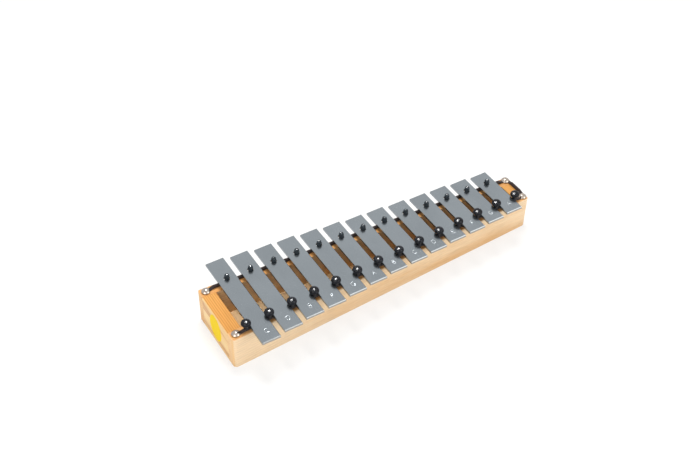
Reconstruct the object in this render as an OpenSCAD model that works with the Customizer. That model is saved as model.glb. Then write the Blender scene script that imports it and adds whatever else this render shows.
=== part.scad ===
// Soprano glockenspiel: thirteen steel tone bars over a tapering wooden sound box.
// Frame: +X from the lowest bar to the highest, -Y the player's side, +Z up.
// The origin is the middle of the underside.

/* [Tone bars] */
// Length of the lowest bar
bar_1_l = 122.6; // [118:0.1:132]
// Width of every bar
bar_w = 20; // [17:0.5:22]
// Thickness of every bar
bar_t = 3; // [2.5:0.25:4]
// Gap between two neighbouring bars
bar_gap = 6; // [5.8:0.1:8]
// Bevel on a bar's upper edges
bar_bevel = 0.5; // [0.2:0.1:0.8]
// Bevel on a bar's lower edges
bar_under_bevel = 0.2; // [0.1:0.05:0.4]
// Length of the hollow ground under a bar to tune it
scoop_l = 14; // [8:1:20]
// Depth of that hollow
scoop_depth = 0.3; // [0.1:0.1:0.6]
// Diameter of the hole that drops over the back pin
bar_hole_d = 7; // [6.8:0.1:8]

/* [Cord rails] */
// Distance from the middle line to the cord at the lowest bar
rail_y_low = 32.7; // [30:0.1:36]
// Distance from the middle line to the cord at the highest bar
rail_y_high = 16.9; // [16:0.1:19]

/* [Sound box] */
// Height of the boards
box_h = 40; // [32:1:50]
// Thickness of the front and back boards
board_t = 12; // [11:0.5:13]
// From the cord's middle out to the board's outer face
board_outer = 5.2; // [4.8:0.1:6]
// Thickness of the end blocks
block_t = 15; // [12:0.5:20]
// From an outer bar's side to the end block
end_gap = 5.8; // [4:0.1:10]
// Rounding of the upright corners
corner_r = 4; // [3:0.5:4.5]
// Rounding of the outer top edges
edge_r = 2; // [1:0.25:2.5]
// Thickness of the bottom panel
panel_t = 4; // [3:0.5:6]
// Width of the rebate that holds the bottom panel
rebate_w = 5; // [3:0.5:6]
// Glue line round the box's joints
glue_gap = 0.05; // [0.02:0.01:0.1]

/* [Panel nails] */
// Shank diameter of a panel nail
brad_d = 1.2; // [1:0.1:1.6]
// Length of a panel nail
brad_l = 16; // [12:1:20]
// Head diameter of a panel nail
brad_head_d = 2.6; // [2:0.1:3]
// Head height of a panel nail
brad_head_h = 0.8; // [0.5:0.1:1.2]

/* [Cord] */
// Diameter of the cord
cord_d = 3.8; // [3:0.1:4.4]
// How far the cord's round is pressed flat on the wood
cord_press = 0.2; // [0.1:0.05:0.4]
// Height of a bar's underside over the cord
bar_seat = 0.2; // [0.05:0.05:0.3]
// Radius of the cord's turn round the high end's corners
elbow_r = 3.5; // [2.5:0.1:3.7]
// Angle of that turn where its tack goes through the cord
tack_turn = 19; // [15:1:40]
// Radius of the cord's turn inwards at the low end
end_bend_r = 50; // [35:1:70]
// Angle of that turn up to the tack
end_turn = 13.5; // [10:0.5:18]
// Cord left past the end tacks
cord_tail = 2.6; // [2:0.1:3]
// Length over which the cord is round again beside a tack
press_l = 4.5; // [3:0.5:5]
// Extra width of the cord where a tack presses it flat
press_spread = 0.2; // [0.1:0.05:0.3]

/* [Pins] */
// Diameter of the steel pins
pin_d = 2; // [1.6:0.1:2.2]
// Depth of a pin in the wood
pin_depth = 16; // [10:1:22]
// Length of a pin's point
pin_point = 2; // [1:0.5:3]
// Clearance round a pin or shank
pin_fit = 0.04; // [0.02:0.01:0.08]
// Diameter of the rubber cap on a back pin
cap_d = 5.3; // [4.6:0.1:5.6]
// Height of a back pin's cap over the bar
cap_over_bar = 5.6; // [4:0.1:6]
// Rubber left over the end of a pin
cap_top = 1.2; // [0.8:0.1:1.6]

/* [Front post heads] */
// Diameter of a head
head_d = 10.2; // [9:0.1:11]
// Height of a head
head_h = 7; // [6.4:0.1:7.4]
// Radius of a head's rim
head_rim_r = 2.9; // [2.4:0.1:3]
// Height of a head's middle over a bar's top
head_lift = 3.4; // [3.3:0.1:4]
// Diameter of the neck between two bars
neck_d = 5; // [4:0.1:5.2]

/* [Dome tacks] */
// Diameter of a tack's dome
tack_d = 9; // [8:0.1:10]
// Height of a tack's dome
tack_h = 2.4; // [2:0.1:3.2]
// Sheet thickness of a dome
tack_sheet = 0.6; // [0.4:0.1:0.8]
// Height of a dome's edge over the wood, where it presses the cord flat
tack_lift = 1.4; // [1:0.1:1.8]
// From the box's low end to its tacks
tack_from_low = 6.8; // [5.5:0.1:8]
// From the box's high end to its tacks
tack_from_high = 5.5; // [5.3:0.1:7]
// Shank diameter of a tack
tack_shank_d = 1.8; // [1.4:0.1:2]
// Depth of a tack in the wood
tack_depth = 10; // [6:1:14]
// Clearance between a tack's edge and the cord under it
tack_fit = 0.12; // [0.05:0.01:0.2]

/* [Label] */
// Width of the oval label
label_w = 24.4; // [18:0.1:30]
// Height of the oval label
label_h = 33; // [24:0.5:36]
// Height of the label's middle over the table
label_z = 21; // [18.5:0.5:23]
// Thickness of the label
label_t = 0.15; // [0.1:0.05:0.3]

/* [Hidden] */
$fn = 64;
eps = 0.5;

BARS = ["bar_01_c", "bar_02_d", "bar_03_e", "bar_04_f", "bar_05_g", "bar_06_a", "bar_07_b",
        "bar_08_c", "bar_09_d", "bar_10_e", "bar_11_f", "bar_12_g", "bar_13_a"];

// Semitones of each bar over the lowest one, a diatonic scale from C to A
SEMITONES = [0, 2, 4, 5, 7, 9, 11, 12, 14, 16, 17, 19, 21];
// A free bar's pitch goes with thickness / length^2, so an octave up is 1 / sqrt(2) as long
function bar_l(i) = bar_1_l * pow(2, -SEMITONES[i] / 24);

bar_count = len(BARS);
pitch = bar_w + bar_gap;
function bar_x(i) = (i - (bar_count - 1) / 2) * pitch;
BAR_XS = [for (i = [0 : bar_count - 1]) bar_x(i)];
POST_XS = [for (i = [0 : bar_count]) bar_x(i - 0.5)];

// The two cords run straight and draw together towards the high bars
rail_slope = (rail_y_low - rail_y_high) / (bar_x(bar_count - 1) - bar_x(0));
rail_mid = (rail_y_low + rail_y_high) / 2;
rail_angle = atan(rail_slope);
rail_stretch = 1 / cos(rail_angle);
function rail_y(x) = rail_mid - rail_slope * x;

box_l = bar_x(bar_count - 1) - bar_x(0) + bar_w + 2 * (end_gap + block_t);
board_inner = board_t - board_outer;
panel_x = box_l / 2 - block_t + rebate_w;
function board_out_y(x) = rail_y(x) + board_outer * rail_stretch;
function board_in_y(x) = rail_y(x) - board_inner * rail_stretch;

// The cord's bends, in the rail's own frame: X along the rail, Y outwards
elbow_turn = 90 - rail_angle;
high_tack_x = (box_l / 2 - tack_from_high) * rail_stretch;
high_tack_y = elbow_r * (cos(tack_turn) - 1);
cord_to_x = high_tack_x - elbow_r * sin(tack_turn);
low_tack_x = (tack_from_low - box_l / 2) * rail_stretch;
low_tack_y = end_bend_r * (cos(end_turn) - 1);
cord_from_x = low_tack_x + end_bend_r * sin(end_turn);
end_tail = cord_tail / end_bend_r * 180 / PI;
cord_sides = 16;
press_to = tack_d / 2 + 0.3;

// Heights over the table
cord_z = box_h + cord_d / 2 - cord_press;
cord_top = cord_z + cord_d / 2;
bar_z = cord_top + bar_seat;
bar_top = bar_z + bar_t;
cap_tip = bar_top + cap_over_bar;
head_z = bar_top + head_lift;
tack_rim_z = box_h + tack_lift;
cord_foot = box_h + glue_gap;
press_share = (tack_lift - tack_fit - glue_gap) / (cord_top - cord_foot);
pin_seat = 0.05;

steel = "#9AA0A6";
bright = "#C8C8C4";
maple = "#EFCB9B";
end_grain = "#E8B476";
panel_wood = "#C79A62";
rubber = "#1E2026";
braid = "#2E2323";
yellow = "#F2D81C";

// Flat outline helpers

module round_off(r) {
    difference() {
        square(r + eps);
        circle(r);
    }
}

module bevelled_outline(w, t, top, under) {
    polygon([[-w / 2 + under, 0], [w / 2 - under, 0], [w / 2, under], [w / 2, t - top],
             [w / 2 - top, t], [-w / 2 + top, t], [-w / 2, t - top], [-w / 2, under]]);
}

module oval(w, h, steps = 48) {
    polygon([for (a = [0 : 360 / steps : 359]) [w / 2 * cos(a), h / 2 * sin(a)]]);
}

// Tone bars

module tone_bar(i) {
    l = bar_l(i);
    scoop_r = (scoop_l * scoop_l / 4 + scoop_depth * scoop_depth) / (2 * scoop_depth);
    color(steel)
    translate([bar_x(i), 0, bar_z])
    difference() {
        intersection() {
            rotate([90, 0, 0])
                linear_extrude(l, center = true)
                    bevelled_outline(bar_w, bar_t, bar_bevel, bar_under_bevel);
            rotate([90, 0, 90])
                linear_extrude(bar_w, center = true)
                    bevelled_outline(l, bar_t, bar_bevel, bar_under_bevel);
        }
        translate([0, rail_y(bar_x(i)), -eps])
            cylinder(d = bar_hole_d, h = bar_t + 2 * eps);
        translate([0, 0, scoop_depth - scoop_r])
            rotate([0, 90, 0])
                cylinder(r = scoop_r, h = bar_w + 2 * eps, center = true, $fn = 180);
    }
}

// Sound box

// Puts children on the back rail: X along the cord, Y outwards
module on_rail() {
    translate([0, rail_mid, 0])
        rotate(-rail_angle)
            children();
}

module board_section() {
    difference() {
        translate([-board_inner, 0])
            square([board_t, box_h]);
        translate([board_outer - edge_r, box_h - edge_r])
            round_off(edge_r);
    }
}

// Rounds the top edge of both end faces
module end_edge_cut() {
    for (side = [-1, 1])
        mirror([side < 0 ? 1 : 0, 0, 0])
            translate([box_l / 2 - edge_r, 0, box_h - edge_r])
                rotate([90, 0, 0])
                    linear_extrude(2 * board_out_y(-box_l), center = true)
                        round_off(edge_r);
}

// Rounds an upright corner of the back board, at the low end (side -1) or the high end (side 1)
module corner_cut(side) {
    cx = side * (box_l / 2 - corner_r);
    cy = board_out_y(cx) - corner_r * rail_stretch;
    reach = corner_r + 2 * eps;
    translate([cx, cy, -eps])
        linear_extrude(box_h + 2 * eps)
            difference() {
                polygon([[0, 0], [reach * sin(rail_angle), reach * cos(rail_angle)],
                         [side * 2 * corner_r, 2 * corner_r], [side * reach, 0]]);
                circle(corner_r);
            }
}

module pin_holes(xs) {
    for (x = xs)
        translate([x, rail_y(x), box_h - pin_depth - pin_seat])
            cylinder(d = pin_d + 2 * pin_fit, h = pin_depth + eps);
}

// Rebate that the bottom panel lies in, cut into the boards and the end blocks
module panel_recess() {
    translate([0, 0, -eps])
        linear_extrude(panel_t + glue_gap + eps)
            between_boards(-panel_x - glue_gap, panel_x + glue_gap, -rebate_w);
}

module panel_nail_places() {
    nail_y = (board_inner - rebate_w / 2) * rail_stretch;
    nail_x = box_l / 2 - block_t;
    for (side = [-1, 1]) {
        for (k = [-1.5 : 1 : 1.5]) {
            x = k * nail_x / 2;
            translate([x, side * (rail_y(x) - nail_y), 0]) children();
        }
        translate([side * (nail_x + rebate_w / 2), 0, 0]) children();
    }
}

module panel_nail_holes() {
    panel_nail_places() {
        translate([0, 0, -eps])
            cylinder(d = brad_d + 2 * pin_fit, h = brad_l + pin_seat + eps);
    }
}

module board(xs) {
    difference() {
        intersection() {
            on_rail()
                rotate([90, 0, 90])
                    linear_extrude(1.2 * box_l, center = true) board_section();
            translate([-box_l / 2, 0, 0])
                cube([box_l, 2 * board_out_y(-box_l), box_h]);
        }
        end_edge_cut();
        corner_cut(-1);
        corner_cut(1);
        pin_holes(xs);
        tack_holes();
        panel_recess();
        panel_nail_holes();
    }
}

module back_board() {
    color(maple) board(BAR_XS);
}

module front_board() {
    color(maple) mirror([0, 1, 0]) board(POST_XS);
}

// Outline between the two boards, kept inside them by a gap at right angles to the rail
module between_boards(x1, x2, inset) {
    y1 = board_in_y(x1) - inset * rail_stretch;
    y2 = board_in_y(x2) - inset * rail_stretch;
    polygon([[x1, -y1], [x2, -y2], [x2, y2], [x1, y1]]);
}

module end_block(side) {
    outer_x = side * box_l / 2;
    inner_x = side * (box_l / 2 - block_t);
    color(end_grain)
    difference() {
        linear_extrude(box_h)
            between_boards(min(outer_x, inner_x), max(outer_x, inner_x), glue_gap);
        panel_recess();
        end_edge_cut();
        panel_nail_holes();
    }
}

module bottom_panel() {
    color(panel_wood)
    difference() {
        linear_extrude(panel_t)
            between_boards(-panel_x, panel_x, glue_gap - rebate_w);
        panel_nail_holes();
        panel_nail_places()
            translate([0, 0, -eps])
                cylinder(d = brad_head_d + 2 * pin_fit, h = brad_head_h + pin_seat + eps);
    }
}

module panel_nails() {
    color(bright)
    panel_nail_places() {
        cylinder(d = brad_head_d, h = brad_head_h);
        cylinder(d = brad_d, h = brad_l - brad_d);
        translate([0, 0, brad_l - brad_d])
            cylinder(d1 = brad_d, d2 = 0.2, h = brad_d);
    }
}

// Cord: one length from the back left tack along the back rail, across the high end
// and back along the front rail. It turns in to a tack at every corner.

// Each ring is [x, y, heading] in the rail's own frame
function low_bend_ring(turn) =
    [cord_from_x - end_bend_r * sin(turn), end_bend_r * (cos(turn) - 1), turn];
function elbow_ring(turn, beyond = 0) =
    [cord_to_x + elbow_r * sin(turn) + beyond * cos(turn),
     elbow_r * (cos(turn) - 1) - beyond * sin(turn), -turn];
function steps(last, count) = [for (k = [0 : count]) k * last / count];

// 0 where a tack presses the cord flat, 1 where the cord is round
function ease(t) = t <= 0 ? 0 : t >= 1 ? 1 : t * t * (3 - 2 * t);
function tack_away(ring) = min(norm([ring[0] - low_tack_x, ring[1] - low_tack_y]),
                               norm([ring[0] - high_tack_x, ring[1] - high_tack_y]));
function roundness(ring) = ease((tack_away(ring) - press_to) / press_l);

// A ring in the part's frame, with its roundness
function from_rail(ring) = [
    ring[0] * cos(rail_angle) + ring[1] * sin(rail_angle),
    rail_mid - ring[0] * sin(rail_angle) + ring[1] * cos(rail_angle),
    ring[2] - rail_angle, roundness(ring)];

// Points of one ring: a circle with its underside on the wood, pressed flat near a tack
function ring_points(ring) = [
    for (k = [0 : cord_sides - 1])
        let (side = cord_d / 2 * cos(360 * k / cord_sides) * (1 + press_spread * (1 - ring[3])),
             rise = max(cord_z + cord_d / 2 * sin(360 * k / cord_sides) - cord_foot, 0))
        [ring[0] - side * sin(ring[2]), ring[1] + side * cos(ring[2]),
         cord_foot + rise * (press_share + (1 - press_share) * ring[3])]];

module cord_tube() {
    run = steps(press_l, 4);
    low_bend = [for (turn = steps(end_turn + end_tail, 9)) low_bend_ring(end_turn + end_tail - turn)];
    to_elbow = [for (s = run) elbow_ring(0, high_tack_x - cord_to_x - press_to - press_l + s)];
    elbow = [for (turn = steps(elbow_turn, 8)) elbow_ring(turn)];
    past_elbow = [for (s = run) elbow_ring(elbow_turn, s + 1)];
    back = [for (ring = concat(low_bend, to_elbow, elbow, past_elbow)) from_rail(ring)];
    last = len(back) - 1;
    front = [for (k = [last : -1 : 0]) [back[k][0], -back[k][1], 180 - back[k][2], back[k][3]]];
    rings = concat(back, front);
    n = cord_sides;
    end = (len(rings) - 1) * n;
    polyhedron(
        points = [for (ring = rings) each ring_points(ring)],
        faces = concat(
            [for (r = [0 : len(rings) - 2], k = [0 : n - 1])
                each [[r * n + k, (r + 1) * n + k, (r + 1) * n + (k + 1) % n],
                      [r * n + k, (r + 1) * n + (k + 1) % n, r * n + (k + 1) % n]]],
            [[for (k = [0 : n - 1]) k], [for (k = [n - 1 : -1 : 0]) end + k]]));
}

module cord_pin_holes(xs) {
    for (x = xs)
        translate([x, rail_y(x), box_h - eps])
            cylinder(d = pin_d + 2 * pin_fit, h = cord_d + 2 * eps);
}

module support_cord() {
    color(braid)
    difference() {
        cord_tube();
        cord_pin_holes(BAR_XS);
        mirror([0, 1, 0]) cord_pin_holes(POST_XS);
        tack_places()
            translate([0, 0, -tack_lift - eps])
                cylinder(d = tack_shank_d + 2 * tack_fit, h = tack_lift + 2 * eps);
    }
}

// Dome tacks that hold the cord's corners and ends

module tack_places() {
    for (side = [0, 1])
        mirror([0, side, 0])
            on_rail() {
                translate([low_tack_x, low_tack_y, tack_rim_z]) children();
                translate([high_tack_x, high_tack_y, tack_rim_z]) children();
            }
}

module tack_holes() {
    tack_places()
        translate([0, 0, -tack_lift - tack_depth - pin_seat])
            cylinder(d = tack_shank_d + 2 * pin_fit, h = tack_depth + tack_lift);
}

// Thin dome with its rim at z = 0
module dome() {
    ball_r = (tack_d * tack_d / 4 + tack_h * tack_h) / (2 * tack_h);
    ball_z = tack_h - ball_r;
    rotate_extrude()
        intersection() {
            translate([0, ball_z])
                difference() {
                    circle(ball_r);
                    circle(ball_r - tack_sheet);
                }
            square([tack_d, tack_h]);
        }
}

module dome_tacks() {
    shank_l = tack_lift + tack_depth - tack_shank_d;
    color(bright)
    tack_places() {
        dome();
        translate([0, 0, -shank_l])
            cylinder(d = tack_shank_d, h = shank_l + tack_h - tack_sheet / 2);
        translate([0, 0, -shank_l - tack_shank_d])
            cylinder(d1 = 0.2, d2 = tack_shank_d, h = tack_shank_d);
    }
}

// Pins and their rubber

module steel_pin(top) {
    foot = box_h - pin_depth;
    translate([0, 0, foot])
        cylinder(d1 = 0.4, d2 = pin_d, h = pin_point);
    translate([0, 0, foot + pin_point])
        cylinder(d = pin_d, h = top - foot - pin_point);
}

module back_pins() {
    color(bright)
    for (x = BAR_XS)
        translate([x, rail_y(x), 0])
            steel_pin(cap_tip - cap_top);
}

module front_pins() {
    color(bright)
    for (x = POST_XS)
        translate([x, -rail_y(x), 0])
            steel_pin(head_z + head_h / 2 - cap_top);
}

module pin_bore(top) {
    translate([0, 0, cord_top - eps])
        cylinder(d = pin_d + 2 * pin_fit, h = top + pin_seat - cord_top + eps);
}

module back_pin_caps() {
    foot = cord_top + pin_seat;
    color(rubber)
    for (x = BAR_XS)
        translate([x, rail_y(x), 0])
            difference() {
                union() {
                    translate([0, 0, foot])
                        cylinder(d = cap_d, h = cap_tip - cap_d / 2 - foot);
                    translate([0, 0, cap_tip - cap_d / 2])
                        sphere(d = cap_d);
                }
                pin_bore(cap_tip - cap_top);
            }
}

// Half outline of a flattened ball: two shallow crowns that run into a round rim
module head_outline() {
    rim_x = head_d / 2 - head_rim_r;
    half = head_h / 2;
    crown_r = (rim_x * rim_x + half * half - head_rim_r * head_rim_r) / (2 * (half - head_rim_r));
    touch_x = crown_r * rim_x / (crown_r - head_rim_r);
    intersection() {
        translate([0, half - crown_r]) circle(crown_r, $fn = 180);
        translate([0, crown_r - half]) circle(crown_r, $fn = 180);
        translate([0, -half]) square([touch_x, head_h]);
    }
    intersection() {
        translate([rim_x, 0]) circle(head_rim_r);
        translate([0, -half]) square([head_d / 2, head_h]);
    }
}

module front_post_heads() {
    foot = cord_top + pin_seat;
    color(rubber)
    for (x = POST_XS)
        translate([x, -rail_y(x), 0])
            difference() {
                union() {
                    translate([0, 0, foot])
                        cylinder(d = neck_d, h = head_z - foot);
                    translate([0, 0, head_z])
                        rotate_extrude() head_outline();
                }
                pin_bore(head_z + head_h / 2 - cap_top);
            }
}

// Bare oval label on the low end

module oval_label() {
    color(yellow)
    translate([-box_l / 2 - label_t, 0, label_z])
        rotate([90, 0, 90])
            linear_extrude(label_t) oval(label_w, label_h);
}

front_board();
back_board();
end_block(-1);  // left_end_block
end_block(1);  // right_end_block
bottom_panel();
panel_nails();
support_cord();
dome_tacks();
back_pins();
back_pin_caps();
front_pins();
front_post_heads();
oval_label();
for (i = [0 : bar_count - 1])
    tone_bar(i);
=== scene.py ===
"""Looks of the soprano glockenspiel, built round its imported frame. All lengths are in metres."""
import math

import bpy
from mathutils import Matrix, Vector


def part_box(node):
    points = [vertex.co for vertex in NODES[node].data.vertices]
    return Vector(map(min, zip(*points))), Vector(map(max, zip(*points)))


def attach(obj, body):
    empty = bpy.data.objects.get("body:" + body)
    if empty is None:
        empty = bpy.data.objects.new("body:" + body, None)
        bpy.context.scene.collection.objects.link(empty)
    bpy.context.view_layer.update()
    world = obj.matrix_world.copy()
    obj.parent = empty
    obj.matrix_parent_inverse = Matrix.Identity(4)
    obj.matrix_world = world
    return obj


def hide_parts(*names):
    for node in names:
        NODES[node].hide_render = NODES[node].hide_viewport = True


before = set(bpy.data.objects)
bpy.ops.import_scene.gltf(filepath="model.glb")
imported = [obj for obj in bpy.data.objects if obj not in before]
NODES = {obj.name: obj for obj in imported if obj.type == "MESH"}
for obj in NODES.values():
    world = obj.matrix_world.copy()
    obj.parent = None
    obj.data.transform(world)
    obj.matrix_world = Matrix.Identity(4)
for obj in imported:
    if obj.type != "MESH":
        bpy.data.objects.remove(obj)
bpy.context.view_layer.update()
BARS = sorted(name for name in NODES if name.startswith("bar_"))
BASE = "sound_box"
MM = 0.001
X, Y, Z = range(3)
WHITE = (1, 1, 1, 1)


def put_in_scene(name, data):
    """A new object of the scene that shows this mesh, curve, lamp or camera."""
    thing = bpy.data.objects.new(name, data)
    bpy.context.collection.objects.link(thing)
    return thing


# Camera, fitted to the photograph

CAM_AT = Vector((-0.46207, -0.67892, 0.84423))
CAM_AZIMUTH, CAM_DOWN, CAM_ROLL = (math.radians(turn) for turn in (32.36, 43.63, 1.25))
CAM_LENS, CAM_SENSOR = 56.62, 36  # in millimetres
CAM_REACH = 20


def place_camera():
    look = Vector((math.sin(CAM_AZIMUTH) * math.cos(CAM_DOWN),
                   math.cos(CAM_AZIMUTH) * math.cos(CAM_DOWN), -math.sin(CAM_DOWN)))
    level = Vector((math.cos(CAM_AZIMUTH), -math.sin(CAM_AZIMUTH), 0))
    above = level.cross(look)
    right = math.cos(CAM_ROLL) * level + math.sin(CAM_ROLL) * above
    up = math.cos(CAM_ROLL) * above - math.sin(CAM_ROLL) * level
    camera = put_in_scene("camera", bpy.data.cameras.new("camera"))
    camera.data.sensor_width = CAM_SENSOR
    camera.data.lens = CAM_LENS
    camera.data.clip_end = CAM_REACH
    turn = Matrix((right, up, -look)).transposed().to_4x4()
    camera.matrix_world = Matrix.Translation(CAM_AT) @ turn
    bpy.context.scene.camera = camera


place_camera()
bpy.context.scene.view_settings.view_transform = "Standard"


# Material helpers

class Mat:
    """A material with one Principled shader, and short calls for its nodes."""

    def __init__(self, name, **sockets):
        self.mat = bpy.data.materials.new(name)
        self.mat.use_nodes = True
        self.tree = self.mat.node_tree
        self.shader = self.tree.nodes["Principled BSDF"]
        for socket, value in sockets.items():
            self.set(socket.replace("_", " "), value)
        self.place = self.add("ShaderNodeTexCoord").outputs["Object"]

    def add(self, kind, inputs=(), **settings):
        node = self.tree.nodes.new(kind)
        for key, value in settings.items():
            setattr(node, key, value)
        for key, value in dict(inputs).items():
            self.put(node.inputs[key], value)
        return node

    def put(self, socket, value):
        if isinstance(value, bpy.types.NodeSocket):
            self.tree.links.new(value, socket)
        else:
            socket.default_value = value

    def set(self, socket, value):
        self.put(self.shader.inputs[socket], value)

    def noise(self, waves, shift=(0, 0, 0), detail=3.0, rough=0.6):
        """Noise from 0 to 1, with so many waves a metre along each axis."""
        place = self.add("ShaderNodeMapping", {"Vector": self.place, "Scale": waves,
                                               "Location": shift}).outputs["Vector"]
        return self.add("ShaderNodeTexNoise", {"Vector": place, "Scale": 1.0, "Detail": detail,
                                               "Roughness": rough}).outputs["Fac"]

    def math(self, operation, a, b=0.0):
        return self.add("ShaderNodeMath", {0: a, 1: b}, operation=operation).outputs[0]

    def vector(self, operation, a, b=(0, 0, 0), out="Vector"):
        return self.add("ShaderNodeVectorMath", {0: a, 1: b}, operation=operation).outputs[out]

    def fit(self, value, low, high, to_low=0.0, to_high=1.0):
        """The value moved from one range to another, and kept inside it."""
        return self.add("ShaderNodeMapRange", {"Value": value, "From Min": low, "From Max": high,
                                               "To Min": to_low, "To Max": to_high}).outputs[0]

    def mix(self, factor, a, b, blend="MIX"):
        node = self.add("ShaderNodeMix", data_type="RGBA", blend_type=blend)
        self.put(node.inputs[0], factor)
        self.put(node.inputs[6], a)
        self.put(node.inputs[7], b)
        return node.outputs[2]

    def greys(self, value, *stops):
        """Greys between stops, which are pairs of a place and a shade."""
        node = self.add("ShaderNodeValToRGB", {"Fac": value})
        steps = node.color_ramp.elements
        while len(steps) < len(stops):
            steps.new(1.0)
        for step, (at, shade) in zip(steps, stops):
            step.position = at
            step.color = (shade, shade, shade, 1)
        return node.outputs["Color"]

    def along(self, vector, axis):
        return self.add("ShaderNodeSeparateXYZ", {0: vector}).outputs[axis]

    def facing(self, axis):
        """How far a face looks along an object axis, from -1 to 1."""
        return self.along(self.add("ShaderNodeTexCoord").outputs["Normal"], axis)

    def bump(self, height, strength, depth):
        node = self.add("ShaderNodeBump", {"Height": height, "Strength": strength,
                                           "Distance": depth})
        self.set("Normal", node.outputs["Normal"])


def rgb(r, g, b):
    """A linear colour with alpha from sRGB values of 0 to 255."""
    return tuple(c / 255 / 12.92 if c <= 10 else ((c / 255 + 0.055) / 1.055) ** 2.4
                 for c in (r, g, b)) + (1,)


def dress(material, *nodes):
    for name in nodes:
        for slot in NODES[name].material_slots:
            slot.material = material.mat


# Wood

MAPLE = (rgb(249, 221, 182), rgb(210, 158, 100), rgb(235, 190, 134))
BLOCK = (rgb(252, 216, 150), rgb(206, 140, 70), rgb(246, 200, 128))
PANEL = (rgb(238, 213, 172), rgb(200, 162, 116), rgb(226, 193, 148))
END_TINT = (0.98, 0.82, 0.57, 1)   # faces that cut across the fibres
BOARD_TOP_SHADE = (0.86, 0.60, 0.36, 1)  # painted shade on faces that look up, darker and more orange
# Painted shade on the end blocks' faces that look up, darker and more orange
BLOCK_TOP_SHADE = (0.77, 0.56, 0.34, 1)


def drawn_out(fibres, across, along):
    """A value for each axis, with its own one for the axis of the fibres."""
    return tuple(along if axis == fibres else across for axis in (X, Y, Z))


def wood(name, colours, fibres, heart, ring, line, seed, rough=0.42, spec=0.35, top=WHITE):
    """Wood with its fibres along one axis. Its rings of year growth are `ring` wide and lie round
    `heart`, `line` is how dark they are, and `top` is painted shade on the faces that look up."""
    light, dark, streak = colours
    m = Mat(name, Roughness=rough, Specular_IOR_Level=spec, Coat_Weight=0.12, Coat_Roughness=0.25)
    wander = m.noise(drawn_out(fibres, 60, 3), (seed, 0, 0), detail=2.0, rough=0.5)
    fibre = m.noise(drawn_out(fibres, 1500, 38), (0, seed, 0))
    patch = m.noise(drawn_out(fibres, 38, 5), (0, 0, seed), rough=0.55)

    from_heart = m.vector("SUBTRACT", m.place, heart)
    radius = m.vector("LENGTH", m.vector("MULTIPLY", from_heart, drawn_out(fibres, 1, 0)),
                      out="Value")
    bent = m.math("ADD", radius, m.fit(wander, 0, 1, -0.9 * ring, 0.9 * ring))
    year = m.math("FRACT", m.math("DIVIDE", bent, ring))
    late = m.greys(year, (0.0, 0.15), (0.35, 0.0), (0.72, 0.3), (0.93, 1.0), (1.0, 0.15))

    colour = m.mix(m.fit(patch, 0.42, 0.68), light, streak)
    colour = m.mix(m.math("MULTIPLY", late, line), colour, dark)
    colour = m.mix(1.0, colour, m.fit(fibre, 0.3, 0.62, 0.86, 1.03), "MULTIPLY")
    cut = m.fit(m.math("ABSOLUTE", m.facing(fibres)), 0.6, 0.9)
    colour = m.mix(cut, colour, END_TINT, "MULTIPLY")
    # Painted shade: faces that look up are tinted by `top`, darker and more orange
    m.set("Base Color", m.mix(m.fit(m.facing(Z), 0.6, 0.9), colour, top, "MULTIPLY"))
    m.set("Roughness", m.fit(fibre, 0.25, 0.75, rough + 0.08, rough - 0.08))
    m.bump(m.math("ADD", fibre, m.math("MULTIPLY", late, -0.4)), 0.25, 0.08 * MM)
    return m


dress(wood("maple", MAPLE, fibres=X, heart=(0, 0.03, -0.11), ring=2.8 * MM, line=0.3, seed=3.1,
           top=BOARD_TOP_SHADE), "front_board")
dress(wood("maple_back", MAPLE, fibres=X, heart=(0, -0.03, -0.11), ring=2.8 * MM, line=0.3,
           seed=5.3, spec=0.12, top=BOARD_TOP_SHADE), "back_board")
dress(wood("end_wood", BLOCK, fibres=Y, heart=(-0.42, 0, 0.035), ring=2.2 * MM, line=0.9,
           seed=7.7, top=BLOCK_TOP_SHADE), "left_end_block", "right_end_block")
dress(wood("panel_wood", PANEL, fibres=X, heart=(0, 0.02, 0.16), ring=4.5 * MM, line=0.35,
           seed=11.3, rough=0.62, spec=0.2), "bottom_panel")


# Metal

def bar_steel():
    """Satin nickel-plated steel, drawn along the bars. Its sawn ends are lighter: bare steel, and
    partly a painted reflection.
    """
    m = Mat("bar_steel", Metallic=0.95)
    grain = m.noise((5200, 420, 5200))
    cloud = m.noise((26, 18, 26), (4, 0, 0))
    plated = m.mix(m.fit(cloud, 0.3, 0.7), rgb(141, 148, 153), rgb(149, 156, 161))
    plated = m.mix(m.fit(grain, 0.35, 0.65, 0, 0.1), plated, rgb(116, 123, 128))
    # Lighter sawn ends: bare steel, and in part a painted reflection of the bright floor in front
    down_bar = m.along(m.add("ShaderNodeTexCoord").outputs["Generated"], Y)
    at_end = m.fit(m.math("ABSOLUTE", m.math("SUBTRACT", down_bar, 0.5)), 0.488, 0.492)
    upright = m.fit(m.math("ABSOLUTE", m.facing(Z)), 0.5, 0.8, 1, 0)
    m.set("Base Color", m.mix(m.math("MULTIPLY", at_end, upright), plated, rgb(158, 157, 153)))
    m.set("Roughness", m.fit(grain, 0.3, 0.7, 0.22, 0.28))
    m.bump(grain, 0.05, 0.01 * MM)
    return m


def nickel():
    m = Mat("nickel", Metallic=1.0)
    haze = m.noise((900, 900, 900), (1, 2, 3))
    m.set("Base Color", m.mix(m.fit(haze, 0.35, 0.65), rgb(164, 152, 142), rgb(184, 173, 163)))
    m.set("Roughness", m.fit(haze, 0.3, 0.7, 0.14, 0.26))
    m.bump(haze, 0.08, 0.02 * MM)
    return m


def pin_steel():
    """Bright steel wire, drawn along the upright pins."""
    m = Mat("pin_steel", Metallic=1.0)
    drawn = m.noise((4000, 4000, 90), detail=2.0, rough=0.5)
    m.set("Base Color", m.mix(drawn, rgb(150, 150, 150), rgb(205, 204, 200)))
    m.set("Roughness", m.fit(drawn, 0.3, 0.7, 0.22, 0.38))
    m.bump(drawn, 0.1, 0.02 * MM)
    return m


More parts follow.
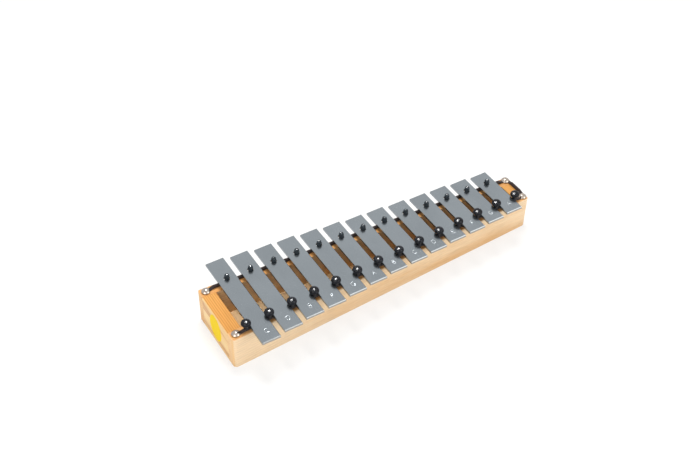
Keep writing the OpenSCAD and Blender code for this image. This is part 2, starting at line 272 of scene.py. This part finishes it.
def letter_steel():
    m = Mat("mark", Metallic=0.95, Roughness=0.38)
    worn = m.noise((1400, 1400, 1400), (0, 0, 9))
    m.set("Base Color", m.mix(m.fit(worn, 0.4, 0.7), rgb(196, 201, 205), rgb(158, 164, 169)))
    return m


dress(bar_steel(), *BARS)
dress(nickel(), "dome_tacks", "panel_nails")
dress(pin_steel(), "back_pins", "front_pins")


# Rubber, label and yarn

def rubber(name, dark, light, rough):
    m = Mat(name, Specular_IOR_Level=0.12)
    bloom = m.noise((420, 420, 420), (5, 0, 0))
    dots = m.noise((3600, 3600, 3600), (0, 5, 0), detail=2.0, rough=0.5)
    m.set("Base Color", m.mix(m.fit(bloom, 0.35, 0.7), dark, light))
    m.set("Roughness", m.fit(bloom, 0.3, 0.7, rough - 0.03, rough + 0.03))
    m.bump(dots, 0.04, 0.01 * MM)
    return m


def label():
    m = Mat("label", Roughness=0.45, Specular_IOR_Level=0.04)
    print_grain = m.noise((1800, 1800, 1800), (0, 0, 2), detail=2.0)
    m.set("Base Color", m.mix(m.fit(print_grain, 0.3, 0.7), rgb(246, 208, 4), rgb(252, 222, 16)))
    m.bump(m.noise((160, 160, 160), (3, 0, 0), detail=2.0, rough=0.5), 0.15, 0.1 * MM)
    return m


def yarn():
    """The cord's yarn, with painted shade in the grooves, which the braid's mesh tells."""
    m = Mat("cord", Specular_IOR_Level=0.35, Sheen_Weight=0.15, Sheen_Roughness=0.5)
    height = m.add("ShaderNodeAttribute", attribute_name="strand_height").outputs["Fac"]
    thread = m.noise((2600, 2600, 2600))
    strand = m.mix(thread, rgb(36, 25, 24), rgb(62, 47, 44))
    # Painted shade: the grooves between strands get a near-black colour
    m.set("Base Color", m.mix(m.fit(height, 0.1, 0.75), rgb(15, 11, 11), strand))
    m.set("Roughness", m.fit(thread, 0.3, 0.7, 0.5, 0.7))
    m.bump(thread, 0.3, 0.1 * MM)
    return m


# The caps' rubber is lighter than the heads': partly a greyer satin rubber, partly painted light on
# their upward tops
dress(rubber("head_rubber", rgb(27, 28, 33), rgb(35, 37, 42), 0.12), "front_post_heads")
dress(rubber("cap_rubber", rgb(45, 52, 58), rgb(53, 60, 66), 0.14), "back_pin_caps")
dress(label(), "oval_label")


# Braided cord. It follows the CAD cord, and its sizes repeat those of part.scad.

BOX_H, BOX_L = 40 * MM, 373.6 * MM
BARS_SPAN = 312 * MM  # from the lowest bar's middle to the highest one's
RAIL_Y_LOW, RAIL_Y_HIGH = 32.7 * MM, 16.9 * MM
CORD_R, CORD_PRESS, CORD_TAIL = 1.9 * MM, 0.2 * MM, 2.6 * MM
ELBOW_R, TACK_TURN = 3.5 * MM, math.radians(19)
END_BEND_R, END_TURN = 50 * MM, math.radians(13.5)
TACK_FROM_LOW, TACK_FROM_HIGH = 6.8 * MM, 5.5 * MM
TACK_R, TACK_LIFT, TACK_FIT = 4.5 * MM, 1.4 * MM, 0.12 * MM
PRESS_MORE, PRESS_L, PRESS_SPREAD = 0.3 * MM, 4.5 * MM, 0.2
GLUE_GAP = 0.05 * MM

RAIL_MID = (RAIL_Y_LOW + RAIL_Y_HIGH) / 2
RAIL = math.atan((RAIL_Y_LOW - RAIL_Y_HIGH) / BARS_SPAN)
ELBOW_TURN = math.pi / 2 - RAIL
LOW_TACK = (TACK_FROM_LOW - BOX_L / 2) / math.cos(RAIL)
HIGH_TACK = (BOX_L / 2 - TACK_FROM_HIGH) / math.cos(RAIL)
TACKS = ((LOW_TACK, END_BEND_R * (math.cos(END_TURN) - 1)),
         (HIGH_TACK, ELBOW_R * (math.cos(TACK_TURN) - 1)))
CORD_FROM = LOW_TACK + END_BEND_R * math.sin(END_TURN)
CORD_TO = HIGH_TACK - ELBOW_R * math.sin(TACK_TURN)
CORD_Z = BOX_H + CORD_R - CORD_PRESS
CORD_FOOT = BOX_H + GLUE_GAP
PRESS_TO = TACK_R + PRESS_MORE
PRESS_SHARE = (TACK_LIFT - TACK_FIT - GLUE_GAP) / (CORD_Z + CORD_R - CORD_FOOT)

STRANDS = 8             # strands that run each way round
PER_STRAND = 5          # points across one strand
STRAND_STEP = 1.8 * MM  # length of cord from one strand to the next
RELIEF = 0.26 * MM      # depth of the grooves
DIP = 0.45              # share of its height that a strand loses on its way under
BEND_STEPS = 60


def from_rail(x, y):
    """A point of the back rail's own frame, in the part's frame."""
    return Vector((x * math.cos(RAIL) + y * math.sin(RAIL),
                   RAIL_MID - x * math.sin(RAIL) + y * math.cos(RAIL), 0))


def mirrored(points):
    return [Vector((p.x, -p.y, 0)) for p in points]


def cord_route(step):
    """Points of the cord's middle line, a step apart, from one end tack round to the other."""
    back = []
    for k in range(BEND_STEPS + 1):
        turn = (END_TURN + CORD_TAIL / END_BEND_R) * (1 - k / BEND_STEPS)
        back.append((CORD_FROM - END_BEND_R * math.sin(turn), END_BEND_R * (math.cos(turn) - 1)))
    for k in range(BEND_STEPS + 1):
        turn = ELBOW_TURN * k / BEND_STEPS
        back.append((CORD_TO + ELBOW_R * math.sin(turn), ELBOW_R * (math.cos(turn) - 1)))
    half = [from_rail(*p) for p in back]
    whole = half + mirrored(reversed(half))
    points, left = [], 0.0
    for a, b in zip(whole, whole[1:]):
        length = (b - a).length
        while left <= length:
            points.append(a.lerp(b, left / length))
            left += step
        left -= length
    return points


def braid_height(round_at, along_at):
    """Height of the braid's surface, from 0 in a groove to 1 on a strand."""
    a, b = round_at + along_at, round_at - along_at
    over = (math.floor(a) + math.floor(b)) % 2 == 0
    across = 2 * ((a if over else b) % 1) - 1
    along = 2 * ((b if over else a) % 1) - 1
    return math.sqrt(max(0.0, 1 - across * across)) * (1 - DIP + DIP * math.cos(along * math.pi / 2))


def roundness(p, tacks):
    """0 where a tack presses the cord flat, and 1 where it is round."""
    near = min((p - tack).length for tack in tacks)
    share = min(1.0, max(0.0, (near - PRESS_TO) / PRESS_L))
    return share * share * (3 - 2 * share)


def make_mesh(name, verts, faces, material):
    mesh = bpy.data.meshes.new(name)
    mesh.from_pydata(verts, [], faces)
    mesh.materials.append(material.mat)
    mesh.polygons.foreach_set("use_smooth", [True] * len(faces))
    mesh.update()
    return put_in_scene(name, mesh)


def braided_cord():
    route = cord_route(STRAND_STEP / PER_STRAND)
    tacks = [from_rail(*tack) for tack in TACKS]
    tacks += mirrored(tacks)
    around = STRANDS * PER_STRAND
    verts, heights = [], []
    last = len(route) - 1
    for k, p in enumerate(route):
        ahead = (route[min(k + 1, last)] - route[max(k - 1, 0)]).normalized()
        left = Vector((-ahead.y, ahead.x, 0))
        full = roundness(p, tacks)
        wide, tall = 1 + PRESS_SPREAD * (1 - full), PRESS_SHARE + (1 - PRESS_SHARE) * full
        for j in range(around):
            height = braid_height(j / PER_STRAND, k / PER_STRAND)
            radius = CORD_R - RELIEF * (1 - height)
            turn = 2 * math.pi * j / around
            rise = max(CORD_Z + radius * math.sin(turn) - CORD_FOOT, 0)
            verts.append(p + left * radius * math.cos(turn) * wide
                         + Vector((0, 0, CORD_FOOT + rise * tall)))
            heights.append(height)
    faces = [(r * around + j, r * around + (j + 1) % around,
              (r + 1) * around + (j + 1) % around, (r + 1) * around + j)
             for r in range(last) for j in range(around)]
    faces.append(tuple(reversed(range(around))))
    faces.append(tuple(last * around + j for j in range(around)))
    piece = make_mesh("braided_cord", verts, faces, yarn())
    attribute = piece.data.attributes.new("strand_height", "FLOAT", "POINT")
    attribute.data.foreach_set("value", heights)
    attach(piece, BASE)
    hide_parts("support_cord")


braided_cord()


# Note letters near the front end of every bar

LOW_BARS = 3                           # bars with the larger letters
LOW_LETTER = (5.5 * MM, 12.75 * MM)    # height, and from the bar's front end to its middle
HIGH_LETTER = (4.9 * MM, 11.45 * MM)
LETTER_ASIDE = 0.9 * MM                # from the bar's middle line
STROKE_R, STROKE_FLAT = 0.18 * MM, 0.35
STROKE_ROUND = 2
ARC_STEPS = 16


def arc(x, y, across, high, start, stop):
    """Points of a part of an ellipse, from one angle in degrees to another."""
    turns = [math.radians(start + (stop - start) * k / ARC_STEPS) for k in range(ARC_STEPS + 1)]
    return [(x + across * math.cos(turn), y + high * math.sin(turn)) for turn in turns]


# Strokes of each letter, one unit high
STROKES = {
    "A": [[(0, 0), (0.37, 1), (0.74, 0)], [(0.13, 0.35), (0.61, 0.35)]],
    "B": [[(0, 0), (0, 1)] + arc(0.32, 0.765, 0.235, 0.235, 90, -90) + [(0, 0.53)],
          arc(0.34, 0.265, 0.265, 0.265, 90, -90) + [(0, 0)]],
    "C": [arc(0.4, 0.5, 0.4, 0.5, 48, 312)],
    "D": [[(0, 0), (0, 1)] + arc(0.26, 0.5, 0.42, 0.5, 90, -90) + [(0, 0)]],
    "E": [[(0.56, 1), (0, 1), (0, 0), (0.56, 0)], [(0, 0.52), (0.46, 0.52)]],
    "F": [[(0.56, 1), (0, 1), (0, 0)], [(0, 0.52), (0.46, 0.52)]],
    "G": [arc(0.4, 0.5, 0.4, 0.5, 48, 340) + [(0.78, 0.46), (0.48, 0.46)]],
}


def stroke_mesh(name, strokes, radius):
    """A mesh of round wires along the strokes."""
    lines = bpy.data.curves.new(name, "CURVE")
    lines.dimensions = "3D"
    lines.bevel_depth = radius
    lines.bevel_resolution = STROKE_ROUND
    lines.use_fill_caps = True
    for stroke in strokes:
        line = lines.splines.new("POLY")
        line.points.add(len(stroke) - 1)
        for point, (x, y) in zip(line.points, stroke):
            point.co = (x, y, 0, 1)
    holder = put_in_scene("holder", lines)
    shown = holder.evaluated_get(bpy.context.evaluated_depsgraph_get())
    mesh = bpy.data.meshes.new_from_object(shown)
    bpy.data.objects.remove(holder)
    return mesh


def note_letter(bar, steel):
    """Thin strokes on the bar's top. Their round tops catch the light as engraved ones do."""
    low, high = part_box(bar)
    cap_h, from_end = LOW_LETTER if BARS.index(bar) < LOW_BARS else HIGH_LETTER
    mesh = stroke_mesh(bar + "_letter", STROKES[bar[-1].upper()], STROKE_R / cap_h)
    wide = max(v.co.x for v in mesh.vertices)
    at = ((low.x + high.x) / 2 + LETTER_ASIDE, low.y + from_end, high.z)
    mesh.transform(Matrix.Translation(at)
                   @ Matrix.Diagonal((cap_h, cap_h, STROKE_FLAT * cap_h, 1))
                   @ Matrix.Translation((-wide / 2, -0.5, 0)))
    mesh.polygons.foreach_set("use_smooth", [True] * len(mesh.polygons))
    mesh.materials.clear()
    mesh.materials.append(steel.mat)
    piece = put_in_scene(bar + "_letter", mesh)
    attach(piece, bar)
    return piece


mark = letter_steel()
letters = [note_letter(bar, mark) for bar in BARS]


# Stage. The floor is open under the box, so the world's light reaches the underside.

WORLD_LEVEL = 0.36
FLOOR_REACH, FLOOR_GLOW = 4, 0.66
FLOOR_PALE, FLOOR_SEEN = (rgb(243, 243, 243), rgb(247, 247, 247)), rgb(160, 160, 160)
OPEN_X, OPEN_Y_LOW, OPEN_Y_HIGH = 185 * MM, 38 * MM, 19.5 * MM


def seen(tree):
    """1 for the camera's rays, also by way of metal or glass, and 0 for the light's."""
    path = tree.nodes.new("ShaderNodeLightPath")
    level = path.outputs["Is Camera Ray"]
    for ray in ("Is Glossy Ray", "Is Transmission Ray"):
        either = tree.nodes.new("ShaderNodeMath")
        either.operation = "MAXIMUM"
        tree.links.new(level, either.inputs[0])
        tree.links.new(path.outputs[ray], either.inputs[1])
        level = either.outputs[0]
    return level


def pale_floor():
    """Lights the object as a plain pale floor, and glows to white where it is seen."""
    m = Mat("floor", Roughness=0.9, Specular_IOR_Level=0.1, Emission_Color=WHITE)
    in_view = seen(m.tree)
    pale = m.mix(m.noise((3, 3, 3), detail=2.0, rough=0.5), *FLOOR_PALE)
    m.set("Base Color", m.mix(in_view, pale, FLOOR_SEEN))
    m.set("Emission Strength", m.math("MULTIPLY", in_view, FLOOR_GLOW))
    return m


def lay_floor():
    rim = [(-FLOOR_REACH, -FLOOR_REACH), (FLOOR_REACH, -FLOOR_REACH),
           (FLOOR_REACH, FLOOR_REACH), (-FLOOR_REACH, FLOOR_REACH)]
    opening = [(-OPEN_X, -OPEN_Y_LOW), (OPEN_X, -OPEN_Y_HIGH),
               (OPEN_X, OPEN_Y_HIGH), (-OPEN_X, OPEN_Y_LOW)]
    faces = [(k, (k + 1) % 4, 4 + (k + 1) % 4, 4 + k) for k in range(4)]
    make_mesh("floor", [(x, y, 0) for x, y in rim + opening], faces, pale_floor())


def light_world():
    world = bpy.data.worlds.new("studio")
    bpy.context.scene.world = world
    world.use_nodes = True
    tree = world.node_tree
    level = tree.nodes.new("ShaderNodeMapRange")
    level.inputs["To Min"].default_value = WORLD_LEVEL
    level.inputs["To Max"].default_value = 1.0
    tree.links.new(seen(tree), level.inputs["Value"])
    background = tree.nodes["Background"]
    background.inputs["Color"].default_value = WHITE
    tree.links.new(level.outputs[0], background.inputs["Strength"])


lay_floor()
light_world()


# Lamps

LAMPS_AIM = Vector((0, 0, 40 * MM))
KEY_WAY, KEY_FROM, KEY_SIZE = (0.10, 0.36, 1.13), 1.19, 0.6


def softbox(name, way, distance, size, power, tint=(1, 1, 1), diffuse=True, glossy=True):
    """A round area lamp that shines on the box from one way."""
    data = bpy.data.lights.new(name, "AREA")
    data.shape = "DISK"
    data.size = size
    data.energy = power
    data.color = tint
    way = Vector(way).normalized()
    lamp = put_in_scene(name, data)
    lamp.location = way * distance + LAMPS_AIM
    lamp.rotation_mode = "QUATERNION"
    lamp.rotation_quaternion = way.to_track_quat("Z", "Y")
    lamp.visible_camera = False
    lamp.visible_diffuse = diffuse
    lamp.visible_glossy = glossy
    return lamp


def lit_only(lamp, pieces):
    """Light from the lamp falls on these pieces alone."""
    lit = bpy.data.collections.new(lamp.name)
    for piece in pieces:
        lit.objects.link(piece)
    lamp.light_linking.receiver_collection = lit


def shine(name, way, size, power, pieces):
    """A highlight on these pieces, which lights nothing and isn't mirrored in other pieces."""
    lamp = softbox(name, way, KEY_FROM, size, power, diffuse=False)
    lamp.data.cycles.max_bounces = 0
    lit_only(lamp, pieces)


softbox("key", KEY_WAY, KEY_FROM, KEY_SIZE, 12, glossy=False)
fronts = [softbox("front_left", (-0.75, -0.45, 0.55), 1.6, 1.1, 8.5, tint=(1.0, 0.97, 0.93)),
          softbox("front_right", (0.5, -0.75, 0.5), 1.6, 1.1, 7.9, tint=(1.0, 0.98, 0.95))]

# The cavity's far wall stays dark behind the high bars, and its floor is lit through the gaps
for front in fronts:
    lit_only(front, [piece for piece in bpy.data.objects
                     if piece.type == "MESH" and piece.name != "back_board"])
lit_only(softbox("wall_fill", (-0.75, -0.45, 0.60), 0.5, 0.5, 0.9, glossy=False),
         [NODES["back_board"]])
lit_only(softbox("floor_fill", (-0.38, -0.60, 0.80), 1.5, 0.5, 38, glossy=False),
         [NODES["bottom_panel"]])

# The bars don't mirror the key lamp, so the glossy small pieces get its highlights one by one
shine("head_shine", KEY_WAY, KEY_SIZE, 480, [NODES["front_post_heads"]])
shine("cap_shine", KEY_WAY, KEY_SIZE, 1000, [NODES["back_pin_caps"]])
shine("tack_shine", KEY_WAY, 0.3, 14, [NODES["dome_tacks"]])
shine("letter_shine", (0.36, 0.0, 0.93), 0.5, 34, letters)
